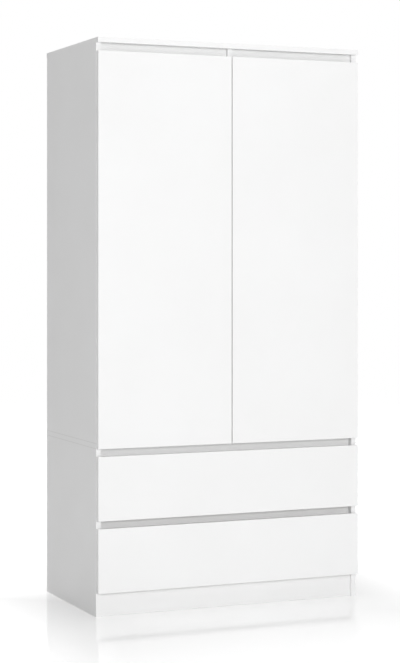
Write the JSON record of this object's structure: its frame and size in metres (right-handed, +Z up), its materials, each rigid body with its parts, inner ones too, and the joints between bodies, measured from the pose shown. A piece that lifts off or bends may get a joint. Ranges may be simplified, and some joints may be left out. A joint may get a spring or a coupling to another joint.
{
  "type": "wardrobe with doors",
  "caption": "Tall white board wardrobe with overlay doors above full-width drawers, opened by finger gaps, on a recessed plinth.",
  "frame": {"origin": "centre of the footprint box at floor level", "axes": "+Z up, doors and drawers face -Y, +X to the viewer's right when facing the doors"},
  "size_m": [0.91, 0.5, 1.8],
  "materials": {
    "white_board": "white melamine-faced board, satin, faint orange peel, edge-banded",
    "hardboard": "thin hardboard, white lacquer inside, brown outside",
    "rod_chrome": "polished",
    "plated_steel": "zinc or nickel plated pressings and screws",
    "zinc": "die-cast zinc cams",
    "white_plastic": "moulded"
  },
  "bodies": {
    "carcass": {"top_panel": "white_board", "upper_side_left": "white_board", "upper_side_right": "white_board", "lower_side_left": "white_board", "lower_side_right": "white_board", "middle_board": "white_board", "center_partition": "white_board", "bottom_panel": "white_board", "plinth_front": "white_board", "plinth_rear": "white_board", "top_rail_left": "white_board", "top_rail_right": "white_board", "groove_rail_upper": "white_board", "groove_rail_lower": "white_board", "back_panel_upper_left": "hardboard", "back_panel_upper_right": "hardboard", "back_panel_lower": "hardboard", "shelves": "white_board", "shelf_pins": "plated_steel", "hanging_rod": "rod_chrome", "rod_sockets": "white_plastic", "cam_locks": "zinc", "cam_bolts": "plated_steel", "back_nails": "plated_steel", "wall_brackets": "plated_steel", "wall_bracket_screws": "plated_steel", "hinge_plates": "plated_steel", "hinge_plate_screws": "plated_steel", "hinge_arms": "plated_steel", "hinge_pins": "plated_steel", "runners_outer": "plated_steel", "runner_screws": "plated_steel"},
    "left_door": {"left_door": "white_board", "left_hinge_cups": "plated_steel", "left_cup_screws": "plated_steel", "left_door_bumpers": "white_plastic"},
    "right_door": {"right_door": "white_board", "right_hinge_cups": "plated_steel", "right_cup_screws": "plated_steel", "right_door_bumpers": "white_plastic"},
    "left_hinge_links": {"left_hinge_links": "plated_steel"},
    "right_hinge_links": {"right_hinge_links": "plated_steel"},
    "upper_drawer": {"upper_drawer_front": "white_board", "upper_drawer_sides": "white_board", "upper_drawer_back": "white_board", "upper_drawer_bottom": "hardboard", "upper_drawer_screws": "plated_steel", "upper_runners_inner": "plated_steel"},
    "lower_drawer": {"lower_drawer_front": "white_board", "lower_drawer_sides": "white_board", "lower_drawer_back": "white_board", "lower_drawer_bottom": "hardboard", "lower_drawer_screws": "plated_steel", "lower_runners_inner": "plated_steel"},
    "upper_runners_middle": {"upper_runners_middle": "plated_steel"},
    "lower_runners_middle": {"lower_runners_middle": "plated_steel"}
  },
  "joints": [
    {"name": "left_door_hinge", "type": "hinge", "parent": "carcass", "child": "left_door", "pos_m": [-0.45, -0.24, 1.1405], "axis": [0, 0, -1], "range_deg": [0, 100]},
    {"name": "right_door_hinge", "type": "hinge", "parent": "carcass", "child": "right_door", "pos_m": [0.45, -0.24, 1.1405], "axis": [0, 0, 1], "range_deg": [0, 100]},
    {"name": "left_link_pivot", "type": "hinge", "parent": "carcass", "child": "left_hinge_links", "pos_m": [-0.4355, -0.2295, 1.1405], "axis": [0, 0, -1], "range_deg": [0, 97]},
    {"name": "right_link_pivot", "type": "hinge", "parent": "carcass", "child": "right_hinge_links", "pos_m": [0.4355, -0.2295, 1.1405], "axis": [0, 0, 1], "range_deg": [0, 97]},
    {"name": "upper_drawer_slide", "type": "slide", "parent": "carcass", "child": "upper_drawer", "axis": [0, -1, 0], "range_m": [0, 0.36]},
    {"name": "lower_drawer_slide", "type": "slide", "parent": "carcass", "child": "lower_drawer", "axis": [0, -1, 0], "range_m": [0, 0.36]},
    {"name": "upper_runner_slide", "type": "slide", "parent": "carcass", "child": "upper_runners_middle", "axis": [0, -1, 0], "range_m": [0, 0.181]},
    {"name": "lower_runner_slide", "type": "slide", "parent": "carcass", "child": "lower_runners_middle", "axis": [0, -1, 0], "range_m": [0, 0.181]}
  ],
  "couplings": [
    {"joint": "left_link_pivot", "follows": "left_door_hinge", "ratio": 0.96},
    {"joint": "right_link_pivot", "follows": "right_door_hinge", "ratio": 0.96},
    {"joint": "upper_runner_slide", "follows": "upper_drawer_slide", "ratio": 0.5},
    {"joint": "lower_runner_slide", "follows": "lower_drawer_slide", "ratio": 0.5}
  ]
}
